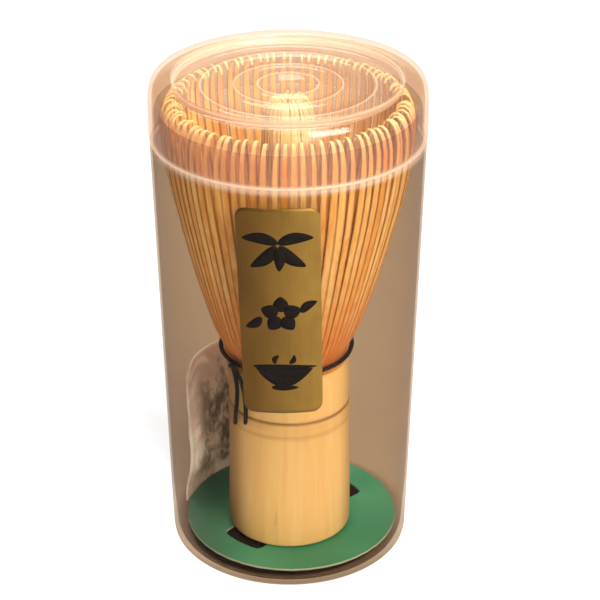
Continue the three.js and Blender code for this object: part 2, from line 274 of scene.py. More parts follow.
def clearPlastic(name, look, edges, ringZ=None):
    # light passes straight through, tinted; the shine grows towards grazing angles; thick edges and the
    # lid's rings carry a pale haze, painted light where light gathers in thick plastic; fine ripples and
    # rubbed scratches move the shine about
    material, tree = newMaterial(name)
    place = node(tree, "ShaderNodeTexCoord").outputs["Object"]
    split = node(tree, "ShaderNodeSeparateXYZ", {"Vector": place})
    x, y, z = split.outputs[0], split.outputs[1], split.outputs[2]
    squares = maths(tree, "ADD", maths(tree, "MULTIPLY", x, x), maths(tree, "MULTIPLY", y, y))
    radius = maths(tree, "SQRT", squares)
    ripple = stretchedNoise(tree, (1, 1, 0.35), 60, 3, source=place)
    scratch = stretchedNoise(tree, (1, 1, 9), 240, 6, 0.7, source=place)
    scuffs = between(tree, scratch, 0.62, 0.72)
    uneven = maths(tree, "ADD", ripple, maths(tree, "MULTIPLY", scuffs, 0.05))
    bump = addBump(tree, uneven, look["ripple"], 0.0006)
    haze = maths(tree, "MULTIPLY_ADD", scuffs, 0.015, look["haze"])
    if ringZ is not None:
        plate = between(tree, maths(tree, "MULTIPLY", radius, -1.0), -26.3 * mm, -25.4 * mm)
        haze = maths(tree, "MULTIPLY_ADD", plate, look["plateHaze"], haze)
    # painted light: pale bands of haze where light gathers in the thick edges
    for middle, half in edges:
        edge = maths(tree, "MULTIPLY", band(tree, z, middle * mm, half * mm), look["edgeLightHaze"])
        haze = maths(tree, "MAXIMUM", haze, edge)
    # painted light: pale lines of haze over the lid's raised rings
    if ringZ is not None:
        onTop = between(tree, z, (ringZ - 0.6) * mm, (ringZ - 0.3) * mm)
        for ring in look["rings"]:
            line = maths(tree, "MULTIPLY", band(tree, radius, ring * mm, 0.00055), look["edgeLightHaze"])
            haze = maths(tree, "MAXIMUM", haze, maths(tree, "MULTIPLY", line, onTop))
    patches = stretchedNoise(tree, (1, 1, 1), 25, 2, source=place)
    veilColour = mixColour(tree, patches, look["veil"], tuple(0.85 * v for v in look["veil"][:3]) + (1,))
    facing = node(tree, "ShaderNodeLayerWeight", {"Blend": 0.5, "Normal": bump}).outputs["Facing"]
    smooth = node(tree, "ShaderNodeLayerWeight", {"Blend": 0.5}).outputs["Facing"]
    zone = between(tree, maths(tree, "MULTIPLY", z, -1.0), -look["zone"][0] * mm, -look["zone"][1] * mm)
    tint = mixColour(tree, zone, look["tint"], look["zoneTint"])
    if "neckTint" in look:
        tint = mixColour(tree, between(tree, z, 102.2 * mm, 102.8 * mm), tint, look["neckTint"])
    tint = mixColour(tree, maths(tree, "POWER", smooth, 3.0), tint, look["edgeTint"])
    through = node(tree, "ShaderNodeBsdfTransparent", {"Color": tint})
    lightPath = node(tree, "ShaderNodeLightPath")
    free = node(tree, "ShaderNodeBsdfTransparent", {"Color": (1, 1, 1, 1)})
    shadowRay, diffuseRay = lightPath.outputs["Is Shadow Ray"], lightPath.outputs["Is Diffuse Ray"]
    notSeen = maths(tree, "MAXIMUM", shadowRay, diffuseRay)
    veil = node(tree, "ShaderNodeBsdfDiffuse", {"Color": veilColour, "Normal": bump})
    glossValues = {"Color": (1, 1, 1, 1), "Roughness": look["gloss"], "Normal": bump}
    shine = node(tree, "ShaderNodeBsdfGlossy", glossValues)
    mirror = maths(tree, "MULTIPLY_ADD", maths(tree, "POWER", facing, 5.0), look["grazing"], look["shine"])
    hazed = node(tree, "ShaderNodeMixShader", {0: haze, 1: through.outputs[0], 2: veil.outputs[0]})
    glossy = node(tree, "ShaderNodeMixShader", {0: mirror, 1: hazed.outputs[0], 2: shine.outputs[0]})
    lit = node(tree, "ShaderNodeMixShader", {0: notSeen, 1: glossy.outputs[0], 2: free.outputs[0]})
    finishSurface(tree, lit.outputs[0])
    return material


caseShape = {
    "footRadius": 28.3,
    "footHeight": 1.8,
    "taper": 0.02634,
    "wall": 1.0,
    "thin": 0.5,             # the wall thins out above the foot
    "floor": 0.75,
    "shoulder": 102.6,
    "neckRadius": 29.75,
    "neckTop": 110.0,
    "turns": 192,
}


def caseRadius(height):
    return caseShape["footRadius"] + caseShape["taper"] * (height - caseShape["footHeight"])


def makeCase():
    # turned wall with rounded corners, thinner above the foot, a flat floor and a stepped-in neck
    s = caseShape
    profile = [
        (0, 0), (s["footRadius"] - 1.1, 0), (s["footRadius"] - 0.2, 0.45),
        (s["footRadius"], s["footHeight"]), (caseRadius(s["shoulder"] - 0.3), s["shoulder"] - 0.3),
        (caseRadius(s["shoulder"]) - 0.25, s["shoulder"]), (s["neckRadius"], s["shoulder"]),
        (s["neckRadius"], s["neckTop"] - 0.2),
        (s["neckRadius"] - 0.3, s["neckTop"]), (s["neckRadius"] - s["wall"], s["neckTop"]),
        (s["neckRadius"] - s["wall"], s["shoulder"] - 0.2),
        (caseRadius(s["shoulder"] - 1.6) - s["thin"], s["shoulder"] - 1.6),
        (caseRadius(14) - s["thin"], 14), (caseRadius(s["footHeight"]) - s["wall"], s["footHeight"] + 0.6),
        (s["footRadius"] - s["wall"] - 0.7, s["floor"]), (0, s["floor"]),
    ]
    piece = turnedPiece("clear_case", rounded(profile, 0.5), s["turns"])
    edges = [(s["shoulder"] - 0.3, 1.1)]
    piece.data.materials.append(clearPlastic("case plastic", caseLook, edges))
    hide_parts("case_body")
    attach(piece, "case")
    print("case made")


lidShape = {
    "radius": 31.15,
    "wall": 1.0,
    "bottom": 102.9,
    "top": 117.0,
    "plate": 114.7,
    "sink": 25.5,
    "ringHeight": 0.3,
    "ringHalf": 0.45,
    "turns": 192,
}


def makeLid():
    # turned skirt and rounded shoulder, a sunk plate with raised rings of half-round section
    s = lidShape
    inner = s["radius"] - s["wall"]
    under = s["plate"] - s["wall"]
    r, top = s["radius"], s["top"]
    below = [
        (0, under), (s["sink"] - s["wall"], under), (s["sink"] - s["wall"], s["top"] - s["wall"]),
        (inner - 1.8, top - s["wall"]), (inner - 0.8, top - 1.6), (inner - 0.25, top - 2.7),
        (inner, top - 4.6),
        (inner, s["bottom"]), (s["radius"] - 0.15, s["bottom"]), (s["radius"], s["bottom"] + 1),
        (r, top - 6.0), (r - 0.05, top - 4.6), (r - 0.18, top - 3.2), (r - 0.45, top - 2.0),
        (r - 0.9, top - 1.0), (r - 1.6, top - 0.3), (r - 2.4, top),
        (s["sink"] + 0.45, s["top"]), (s["sink"] + 0.1, s["top"] - 0.35),
        (s["sink"], s["plate"]),
    ]
    t = np.linspace(0, math.pi, 7)
    rings = [(ring + s["ringHalf"] * math.cos(a), s["plate"] + s["ringHeight"] * math.sin(a))
             for ring in lidLook["rings"][1:] for a in t]
    profile = [*rounded(below, 0.35).tolist(), *rings, (0, s["plate"])]
    piece = turnedPiece("clear_lid", profile, s["turns"])
    edges = [(s["bottom"] + 0.1, 0.8)]
    piece.data.materials.append(clearPlastic("lid plastic", lidLook, edges, ringZ=s["plate"]))
    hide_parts("case_lid")
    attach(piece, "lid")
    print("lid made")


makeCase()
makeLid()


whiskShift = {
    "foot": -2.5,            # forward of the case's middle, along y
    "footHeights": (3.4, 60.0),
    "root": -0.65,           # of the crown, along x
    "rootHeights": (43.0, 48.0, 88.0),
}


def offCentre(points):
    # adds foot (1 - t) to y, where t runs from 0 to 1 over footHeights, and root times a rise and a fall
    # over rootHeights to x
    points = np.array(points, float)
    z = points[..., 2]
    low, high = whiskShift["footHeights"]
    start, full, end = whiskShift["rootHeights"]
    points[..., 1] += whiskShift["foot"] * np.clip((high - z) / (high - low), 0, 1)
    rise = np.clip((z - start) / (full - start), 0, 1)
    points[..., 0] += whiskShift["root"] * rise * np.clip((end - z) / (end - full), 0, 1)
    return points


bambooLook = {
    "pale": (0.92, 0.645, 0.255, 1),
    "deep": (0.82, 0.49, 0.15, 1),
    "blotch": (0.86, 0.66, 0.36, 1),
    "fibre": (0.60, 0.35, 0.13, 1),
    "scar": (0.16, 0.06, 0.02, 1),
    "grooveShade": (0.52, 0.25, 0.08, 1),
    "scarShade": (0.42, 0.21, 0.08, 1),
    "side": (0.34, 0.21, 0.14, 1),       # painted shade that darkens the skin at its left and right
    "tinePale": (0.97, 0.62, 0.22, 1),
    "tineDeep": (0.82, 0.375, 0.075, 1),
    "tineRootShade": (0.60, 0.14, 0.012, 1),
    "tuftPale": (0.88, 0.62, 0.29, 1),
    "tuftDeep": (0.76, 0.48, 0.19, 1),
    "tipPale": (0.94, 0.71, 0.34, 1),
    "paintedGapShade": (0.24, 0.075, 0.012, 1),      # painted shade along both sides of a tine, in the gaps between tines
    "tineStreak": (0.50, 0.19, 0.035, 1),
    "tineLight": (0.98, 0.70, 0.34, 1),
}


def culmMaterial(groove, scarLine):
    # lengthwise fibres are noise squeezed along z, blotches are wide noise, the groove and the sheath's
    # scar are bands of height, a little wavy
    look = bambooLook
    material, tree = newMaterial("bamboo skin")
    place = node(tree, "ShaderNodeTexCoord").outputs["Object"]
    split = node(tree, "ShaderNodeSeparateXYZ", {"Vector": place})
    x, z = split.outputs[0], split.outputs[2]
    fibre = stretchedNoise(tree, (1, 1, 0.02), 900, 5, 0.65, source=place)
    strips = stretchedNoise(tree, (1, 1, 0.03), 160, 3, source=place)
    blotch = stretchedNoise(tree, (1, 1, 0.5), 70, 4, source=place)
    fleck = stretchedNoise(tree, (1, 1, 0.25), 520, 2, 0.5, source=place)
    base = mixColour(tree, between(tree, strips, 0.3, 0.8, 0, 0.75), look["pale"], look["deep"])
    base = mixColour(tree, between(tree, blotch, 0.45, 0.8, 0, 0.45), base, look["blotch"])
    base = mixColour(tree, between(tree, fibre, 0.4, 0.75, 0, 0.25), base, look["fibre"])
    base = mixColour(tree, between(tree, fleck, 0.72, 0.8, 0, 0.18), base, look["scar"])
    sway = stretchedNoise(tree, (1, 1, 0.2), 45, 2, source=place)
    wave = maths(tree, "MULTIPLY_ADD", sway, 0.0012, -0.0006)
    level = maths(tree, "ADD", z, wave)
    dark = band(tree, level, groove * mm, 0.00062)
    soft = band(tree, level, scarLine * mm, 0.0009)
    shade = band(tree, level, (groove - 1.2) * mm, 0.0024)
    base = mixColour(tree, maths(tree, "MULTIPLY", shade, 0.22), base, look["grooveShade"])
    base = mixColour(tree, maths(tree, "MULTIPLY", soft, 0.38), base, look["scarShade"])
    base = mixColour(tree, maths(tree, "MULTIPLY", dark, 0.85), base, look["scar"])
    # painted shade: the skin darkens towards its left side and a little towards its right edge
    paintedLeftShade = between(tree, x, -14.6 * mm, -9.5 * mm, 0.85, 0)
    paintedRightShade = between(tree, x, 11.5 * mm, 14.6 * mm, 0, 0.45)
    base = mixColour(tree, paintedLeftShade, base, look["side"], "MULTIPLY")
    base = mixColour(tree, paintedRightShade, base, look["side"], "MULTIPLY")
    height = maths(tree, "SUBTRACT", fibre, maths(tree, "MULTIPLY", dark, 0.8))
    rough = between(tree, blotch, 0.3, 0.7, 0.36, 0.5)
    values = {"Base Color": base, "Roughness": rough, "Normal": addBump(tree, height, 0.35, 0.00025),
              "Coat Weight": 0.15, "Coat Roughness": 0.3, "Specular IOR Level": 0.4}
    finishSurface(tree, node(tree, "ShaderNodeBsdfPrincipled", values).outputs[0])
    return material


def tineMaterial(name, pale, deep, tipLow, tipHigh):
    # each tine has its own tone from the "tone" attribute, painted shade along its sides from "across",
    # which runs from
    # -1 to 1 over its width, streaks along its length, painted shade and bounce light deepening the root,
    # and a paler tip
    look = bambooLook
    material, tree = newMaterial(name)
    place = node(tree, "ShaderNodeTexCoord").outputs["Object"]
    z = node(tree, "ShaderNodeSeparateXYZ", {"Vector": place}).outputs[2]
    tone = node(tree, "ShaderNodeAttribute", attribute_name="tone").outputs["Fac"]
    across = node(tree, "ShaderNodeAttribute", attribute_name="across").outputs["Fac"]
    streak = stretchedNoise(tree, (1, 1, 0.04), 1100, 4, 0.6, source=place)
    wide = stretchedNoise(tree, (1, 1, 0.05), 330, 3, 0.6, source=place)
    base = mixColour(tree, tone, pale, deep)
    base = mixColour(tree, between(tree, wide, 0.5, 0.66, 0, 0.45), base, look["tineLight"])
    base = mixColour(tree, between(tree, streak, 0.4, 0.75, 0, 0.5), base, look["tineStreak"])
    # painted shade darkens each tine towards both its sides
    side = between(tree, maths(tree, "ABSOLUTE", across), 0.5, 1.0, 0, 0.6)
    base = mixColour(tree, side, base, look["paintedGapShade"])
    # painted shade and bounce light: the tines turn deeper and redder towards the root
    root = between(tree, maths(tree, "MULTIPLY", z, -1.0), -80 * mm, -50 * mm)
    base = mixColour(tree, maths(tree, "MULTIPLY", root, 0.7), base, look["tineRootShade"])
    tips = between(tree, z, tipLow * mm, tipHigh * mm)
    base = mixColour(tree, maths(tree, "MULTIPLY", tips, 0.75), base, look["tipPale"])
    values = {"Base Color": base, "Roughness": between(tree, streak, 0.3, 0.7, 0.45, 0.6),
              "Normal": addBump(tree, streak, 0.4, 0.0002), "Specular IOR Level": 0.2}
    finishSurface(tree, node(tree, "ShaderNodeBsdfPrincipled", values).outputs[0])
    return material


culmShape = {
    "bottom": 3.4,
    "radius": 14.65,
    "topRadius": 14.4,
    "top": 47.7,
    "bore": 12.1,
    "upperBore": 11.4,
    "groove": 36.4,
    "turns": 160,
}


def outOfRound(a, z):
    # 1 + 0.006 cos(2a + 0.6) + 0.003 cos(3a), less a little so that nothing stands proud
    return 1 + 0.006 * np.cos(2 * a + 0.6) + 0.003 * np.cos(3 * a) - 0.0045


def makeCulm():
    # hollow turned stick with a wall across it at the node, a little out of round
    s = culmShape
    g = s["groove"]
    profile = [
        (0, g - 2.6), (s["bore"] - 0.3, g - 3.6), (s["bore"], s["bottom"]),
        (s["radius"] - 0.35, s["bottom"]),
        (s["radius"] - 0.05, s["bottom"] + 0.4), (s["radius"] - 0.05, 12), (s["radius"] - 0.25, 28),
        (s["radius"] - 0.34, g - 4.3), (s["radius"] - 0.4, g - 3.7), (s["radius"] - 0.12, g - 2.9),
        (s["radius"] - 0.08, g - 1.4), (s["radius"] - 0.22, g - 0.5), (s["radius"] - 0.52, g),
        (s["radius"] - 0.3, g + 0.6), (s["topRadius"], 43), (s["topRadius"] + 0.1, s["top"]),
        (s["upperBore"], s["top"]), (s["upperBore"], g + 0.8), (0, g - 0.2),
    ]
    profile = finer(rounded(profile, 0.4, 4), 2)
    piece = turnedPiece("bamboo_culm", profile, s["turns"], outOfRound, offCentre)
    piece.data.materials.append(culmMaterial(g, g - 3.8))
    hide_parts("culm_handle")
    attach(piece, "whisk")
    print("culm made")


outerTines = {
    "groups": 16,
    "perGroup": 5,
    "seed": 4,
    # outside radius, height, thickness and width from the root to the hooked tip
    "curve": [
        (14.4, 48.0, 1.4, 1.05), (14.4, 49.6, 1.2, 1.05), (14.9, 51.4, 0.95, 1.1), (17.5, 57.2, 0.7, 1.3),
        (20.3, 66, 0.55, 1.48), (22.8, 75, 0.5, 1.6), (25.0, 84, 0.45, 1.7), (26.8, 92, 0.42, 1.74),
        (27.9, 99, 0.4, 1.66), (28.35, 104.5, 0.38, 1.45), (28.15, 108.3, 0.34, 1.1),
        (27.2, 110.9, 0.3, 0.8), (25.7, 111.9, 0.27, 0.62), (24.4, 111.3, 0.25, 0.5),
        (24.0, 110.3, 0.22, 0.42),
    ],
    # how unlike its neighbours a tine is, and how much higher the back of the crown stands
    "jitter": {"radius": 0.3, "height": 0.35, "turn": 0.016, "width": 0.1, "tilt": 0.55},
}
innerTines = {
    "groups": 8,
    "perGroup": 14,
    "seed": 9,
    "curve": [
        (12.3, 48.0, 1.0, 0.55), (12.2, 52, 0.8, 0.55), (11.2, 60, 0.6, 0.55), (9.6, 72, 0.5, 0.52),
        (8.0, 84, 0.4, 0.5), (6.5, 95, 0.36, 0.47), (5.8, 103, 0.34, 0.44), (5.6, 107.2, 0.32, 0.42),
        (4.8, 110.0, 0.3, 0.4), (3.3, 111.2, 0.3, 0.38), (2.2, 110.9, 0.28, 0.36),
        (1.9, 110.0, 0.26, 0.34),
    ],
    "jitter": {"radius": 0.45, "height": 0.5, "turn": 0.06, "width": 0.1, "tilt": 0.0},
}


def tineSweep(curve, azimuths, jitter, rng):
    # a tine is the curve (r, z, thickness, width) offset inwards by its thickness, given half its width to
    # either side, and turned to its azimuth; each has its own small lean, width and tip height.
    # Returns points (tine, station, 4, 3) with the section's corners in order
    c = smoothPath(curve, 20)
    along = np.gradient(c[:, :2], axis=0)
    along /= np.linalg.norm(along, axis=1)[:, None]
    inward = np.stack([-along[:, 1], along[:, 0]], -1)
    outer = c[:, :2]
    inner = outer + inward * c[:, 2:3]
    n = len(azimuths)
    t = np.linspace(0, 1, len(c))
    half = 0.5 * c[:, 3] * (1 + jitter["width"] * rng.standard_normal(n).clip(-1.5, 1.5)[:, None])
    spread = jitter["radius"] * rng.standard_normal(n)[:, None] * t ** 2
    lift = (jitter["height"] * rng.standard_normal(n) + jitter["tilt"] * np.sin(azimuths))[:, None] * t ** 3
    drift = jitter["turn"] * rng.standard_normal(n)[:, None] * t ** 2
    r = np.stack([outer[:, 0], outer[:, 0], inner[:, 0], inner[:, 0]], -1)[None] + spread[..., None]
    z = np.stack([outer[:, 1], outer[:, 1], inner[:, 1], inner[:, 1]], -1)[None] + lift[..., None]
    side = half[..., None] * np.array([-1, 1, 1, -1])
    a = azimuths[:, None, None] + drift[..., None] * np.ones(4)
    x = r * np.cos(a) - side * np.sin(a)
    y = r * np.sin(a) + side * np.cos(a)
    return np.stack([x, y, z * np.ones_like(x)], -1)


def makeTines(kind, shape, names, material):
    rng = np.random.default_rng(shape["seed"])
    turn = 2 * math.pi / shape["groups"]
    per = shape["perGroup"]
    for g, name in enumerate(names):
        azimuths = g * turn + turn / per * (np.arange(per) + 0.5)
        points = tineSweep(shape["curve"], azimuths, shape["jitter"], rng)
        count, stations = points.shape[:2]
        faces = []
        for k in range(count):
            start = k * stations * 4
            faces += gridFaces(stations, 4, wrapColumns=True, offset=start).tolist()
            last = start + (stations - 1) * 4
            faces += [[start + 3, start + 2, start + 1, start], [last, last + 1, last + 2, last + 3]]
        points = offCentre(points.reshape(-1, 3))
        piece = meshFromArrays(f"{kind}_{g + 1:02d}", points, faces, smooth=False)
        tone = np.repeat(rng.random(count), stations * 4).astype(np.float32)
        piece.data.attributes.new("tone", "FLOAT", "POINT").data.foreach_set("value", tone)
        across = np.tile([-1.0, 1.0, 1.0, -1.0], count * stations).astype(np.float32)
        piece.data.attributes.new("across", "FLOAT", "POINT").data.foreach_set("value", across)
        piece.data.materials.append(material)
        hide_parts(name)
        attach(piece, "whisk")
    print(kind, "tines made")


makeCulm()
outerMaterial = tineMaterial("shaved bamboo", bambooLook["tinePale"], bambooLook["tineDeep"], 106.5, 111.5)
innerMaterial = tineMaterial("fine bamboo", bambooLook["tuftPale"], bambooLook["tuftDeep"], 98, 107)
outerNames = [f"outer_tines_{i:02d}" for i in range(1, 17)]
innerNames = [f"inner_tines_{i}" for i in range(1, 9)]
makeTines("outer", outerTines, outerNames, outerMaterial)
makeTines("inner", innerTines, innerNames, innerMaterial)


threadLook = {
    "dark": (0.012, 0.008, 0.007, 1),
    "light": (0.045, 0.028, 0.02, 1),
    "strandRadius": 0.55,
    "twist": 2.2,        # full turns of the plies for each 10 mm
    "plies": 3,
    "ringRadius": 15.35,
    "ringHeight": 50.1,
    "knotAzimuth": 220.6,
    "tails": ((214.5, 33.4), (228.5, 35.0)),
    "worn": (0.06, 0.035, 0.025, 1),
    "innerRadius": 12.85,
    "innerHeight": 51.4,
}


def threadMaterial():
    look = threadLook
    material, tree = newMaterial("black thread")
    place = node(tree, "ShaderNodeTexCoord").outputs["Object"]
    fuzz = stretchedNoise(tree, (1, 1, 1), 1800, 4, 0.7, source=place)
    wear = stretchedNoise(tree, (1, 1, 1), 220, 3, source=place)
    base = mixColour(tree, between(tree, fuzz, 0.4, 0.75), look["dark"], look["light"])
    base = mixColour(tree, between(tree, wear, 0.5, 0.8, 0, 0.4), base, look["worn"])
    values = {"Base Color": base, "Roughness": between(tree, fuzz, 0.3, 0.7, 0.6, 0.85),
              "Normal": addBump(tree, fuzz, 0.6, 0.0002), "Sheen Weight": 0.05, "Specular IOR Level": 0.15}
    finishSurface(tree, node(tree, "ShaderNodeBsdfPrincipled", values).outputs[0])
    return material


def twistedStrand(path, radius, closed=False, sides=12):
    # the section is a circle whose radius is radius (1 - 0.16 (1 - |cos(plies (b - twist s) / 2)|)),
    # where b runs round the section and s is the length along the path
    path = np.asarray(path, float)
    ahead = np.roll(path, -1, 0) - np.roll(path, 1, 0) if closed else np.gradient(path, axis=0)
    along = ahead / np.linalg.norm(ahead, axis=1)[:, None]
    outwards = path * [1, 1, 0]
    outwards /= np.linalg.norm(outwards, axis=1)[:, None]
    outwards -= (outwards * along).sum(1)[:, None] * along
    outwards /= np.linalg.norm(outwards, axis=1)[:, None]
    other = np.cross(along, outwards)
    step = np.linalg.norm(np.diff(path, axis=0), axis=1)
    length = np.concatenate([[0], np.cumsum(step)])
    turns = threadLook["twist"] / 10 * length
    if closed:
        turns *= round(turns[-1]) / turns[-1]
    b = np.linspace(0, 2 * math.pi, sides, endpoint=False)[None, :]
    ply = np.abs(np.cos(threadLook["plies"] * (b - 2 * math.pi * turns[:, None]) / 2))
    r = radius * (1 - 0.16 * (1 - ply))
    if not closed:
        taper = np.minimum(1, np.minimum(length, length[-1] - length) / (1.2 * radius) + 0.45)
        r = r * taper[:, None]
    section = np.cos(b)[..., None] * outwards[:, None] + np.sin(b)[..., None] * other[:, None]
    return path[:, None] + r[..., None] * section


def ringPath(radius, height, count=220, wander=0.0):
    a = np.linspace(0, 2 * math.pi, count, endpoint=False)
    return np.stack([radius * np.cos(a), radius * np.sin(a), height + wander * np.sin(3 * a + 1)], -1)


def tailPath(azimuth, bottom):
    # from the knot down the handle: at each stop the radius, the share of the turn done, and the height
    height = threadLook["ringHeight"]
    start = math.radians(threadLook["knotAzimuth"])
    turn = math.radians(azimuth) - start
    stops = [
        (15.95, 0.1, height + 0.1), (15.9, 0.2, height - 1.2), (15.2, 0.5, 46.2),
        (15.0, 0.85, 39.5), (15.25, 0.97, 36.5), (15.4, 1.0, bottom),
    ]
    path = [(r * math.cos(start + turn * k), r * math.sin(start + turn * k), z) for r, k, z in stops]
    return smoothPath(path, 60)


def knotPaths():
    # the knot is a small tilted ring, centre + a cos(t) + b sin(t), with a bowed bar across it
    azimuth = math.radians(threadLook["knotAzimuth"])
    out = np.array([math.cos(azimuth), math.sin(azimuth), 0])
    side = np.array([-math.sin(azimuth), math.cos(azimuth), 0])
    up = np.array([0, 0, 1.0])
    centre = out * 16.15 + up * (threadLook["ringHeight"] - 0.2)
    t = np.linspace(0, 2 * math.pi, 60, endpoint=False)[:, None]
    a = 0.75 * (0.55 * side + 0.83 * up)
    b = 0.72 * (0.83 * side - 0.55 * up)
    s = np.linspace(-1, 1, 24)[:, None]
    bar = centre + out * (0.45 - 0.4 * s ** 2) + side * (1.25 * s) + up * (0.5 * s)
    return centre + a * np.cos(t) + b * np.sin(t), bar


def makeThread():
    look = threadLook
    material = threadMaterial()
    ring = ringPath(look["ringRadius"], look["ringHeight"], wander=0.12)
    parts = [(twistedStrand(ring, look["strandRadius"], True), True)]
    for azimuth, bottom in look["tails"]:
        tail = tailPath(azimuth, bottom)
        parts.append((twistedStrand(tail, look["strandRadius"] * 0.95), False))
    loop, bar = knotPaths()
    parts.append((twistedStrand(loop, 0.42, True, 10), True))
    parts.append((twistedStrand(bar, 0.48, False, 10), False))
    points, faces, start = [], [], 0
    for grid, closed in parts:
        rows, sides = grid.shape[:2]
        faces += gridFaces(rows, sides, wrapRows=closed, wrapColumns=True, offset=start).tolist()
        if not closed:
            faces.append(list(range(start + sides - 1, start - 1, -1)))
            faces.append(list(range(start + (rows - 1) * sides, start + rows * sides)))
        points.append(grid.reshape(-1, 3))
        start += rows * sides
    piece = meshFromArrays("binding_strand", offCentre(np.vstack(points)), faces)
    piece.data.materials.append(material)
    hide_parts("binding_thread")
    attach(piece, "whisk")
    innerRing = ringPath(look["innerRadius"], look["innerHeight"])
    grid = twistedStrand(innerRing, look["strandRadius"] * 0.9, True)
    faces = gridFaces(*grid.shape[:2], wrapRows=True, wrapColumns=True).tolist()
    inner = meshFromArrays("inner_strand", offCentre(grid.reshape(-1, 3)), faces)
    inner.data.materials.append(material)
    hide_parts("inner_thread_round")
    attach(inner, "whisk")
    print("thread made")


makeThread()


cardLook = {
    "green": (0.075, 0.35, 0.20, 1),
    "greenDeep": (0.03, 0.25, 0.125, 1),
    "speck": (0.08, 0.36, 0.2, 1),
    "core": (0.42, 0.50, 0.36, 1),
    "shade": (0.45, 0.34, 0.38, 1),      # painted shadow of the whisk that darkens the left side
    # the pad's near-black colours are painted shadow under the card
    "pad": (0.009, 0.0045, 0.003, 1),
    "padLight": (0.022, 0.011, 0.007, 1),
    "padCloud": (0.026, 0.013, 0.008, 1),
}


def cardMaterial(top):
    # coated green face, grey-green cut edge found by height and slope, faint paper grain
    look = cardLook
    material, tree = newMaterial("coated green card")
    place = node(tree, "ShaderNodeTexCoord").outputs["Object"]
    split = node(tree, "ShaderNodeSeparateXYZ", {"Vector": place})
    x, z = split.outputs[0], split.outputs[2]
    slope = node(tree, "ShaderNodeNewGeometry").outputs["True Normal"]
    upright = maths(tree, "ABSOLUTE", node(tree, "ShaderNodeSeparateXYZ", {"Vector": slope}).outputs[2])
    steep = maths(tree, "LESS_THAN", upright, 0.5)
    cut = maths(tree, "MULTIPLY", steep, maths(tree, "LESS_THAN", z, (top + 0.05) * mm))
    grain = stretchedNoise(tree, (1, 1, 1), 700, 4, 0.65, source=place)
    cloud = stretchedNoise(tree, (1, 1, 1), 55, 3, source=place)
    face = mixColour(tree, between(tree, cloud, 0.3, 0.75), look["green"], look["greenDeep"])
    face = mixColour(tree, between(tree, grain, 0.45, 0.8, 0, 0.25), face, look["speck"])
    # painted shadow of the whisk: the face darkens towards its left side
    paintedLeftShade = between(tree, x, -21 * mm, -9 * mm, 0.8, 0.0)
    face = mixColour(tree, paintedLeftShade, face, look["shade"], "MULTIPLY")
    base = mixColour(tree, cut, face, look["core"])
    values = {"Base Color": base, "Roughness": between(tree, grain, 0.3, 0.7, 0.4, 0.55),
              "Normal": addBump(tree, grain, 0.25, 0.0001), "Specular IOR Level": 0.4}
    finishSurface(tree, node(tree, "ShaderNodeBsdfPrincipled", values).outputs[0])
    return material


def shadowPadMaterial():
    look = cardLook
    # a near-black board whose colour is painted shadow under the card
    material, tree = newMaterial("board dark as shadow")
    place = node(tree, "ShaderNodeTexCoord").outputs["Object"]
    pulp = stretchedNoise(tree, (1, 1, 1), 900, 5, 0.7, source=place)
    cloud = stretchedNoise(tree, (1, 1, 1), 80, 3, source=place)
    base = mixColour(tree, between(tree, pulp, 0.35, 0.75), look["pad"], look["padLight"])
    base = mixColour(tree, between(tree, cloud, 0.5, 0.8, 0, 0.3), base, look["padCloud"])
    values = {"Base Color": base, "Roughness": between(tree, pulp, 0.3, 0.7, 0.75, 0.95),
              "Normal": addBump(tree, pulp, 0.5, 0.0003), "Specular IOR Level": 0.1}
    finishSurface(tree, node(tree, "ShaderNodeBsdfPrincipled", values).outputs[0])
    return material


def dressCadNode(name, material):
    # the CAD piece keeps its own shape and gets a finished surface
    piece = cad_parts[name]
    piece.data.materials.clear()
    piece.data.materials.append(material)


cardLow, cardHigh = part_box("card_stand")
dressCadNode("card_stand", cardMaterial(cardLow[2] / mm + 0.5))
dressCadNode("dark_pad", shadowPadMaterial())
print("card dressed")


labelLook = {
    "width": 18.0,
    "height": 50.5,
    "corner": 2.4,
    "thick": 0.15,
    "middle": 73.5,
    "turn": -3.6,
    "tilt": 1.3,
    "offWall": 0.12,
    "foil": (0.215, 0.118, 0.02, 1),
    "foilDeep": (0.158, 0.082, 0.012, 1),
    "foilStreak": (0.25, 0.145, 0.032, 1),
    "foilShade": (0.44, 0.36, 0.24, 1),  # painted shade that darkens the left side
    "ink": (0.006, 0.004, 0.003, 1),
    "inkGrain": (0.014, 0.010, 0.007, 1),
}


def onLabel(across, up, lift):
    # wraps flat label coordinates on the case's wall: the angle is the arc length over the radius there
    look = labelLook
    tilt = math.radians(look["tilt"])
    side = across * math.cos(tilt) - up * math.sin(tilt)
    height = look["middle"] + up * math.cos(tilt) + across * math.sin(tilt)
    radius = caseRadius(height) + look["offWall"] + lift
    angle = math.radians(look["turn"]) + side / caseRadius(look["middle"])
    return np.stack([radius * np.sin(angle), -radius * np.cos(angle), height], -1)


def labelHalfHeight(across):
    look = labelLook
    past = np.maximum(0, np.abs(across) - (look["width"] / 2 - look["corner"]))
    drop = look["corner"] - np.sqrt(np.maximum(0, look["corner"] ** 2 - past ** 2))
    return look["height"] / 2 - drop


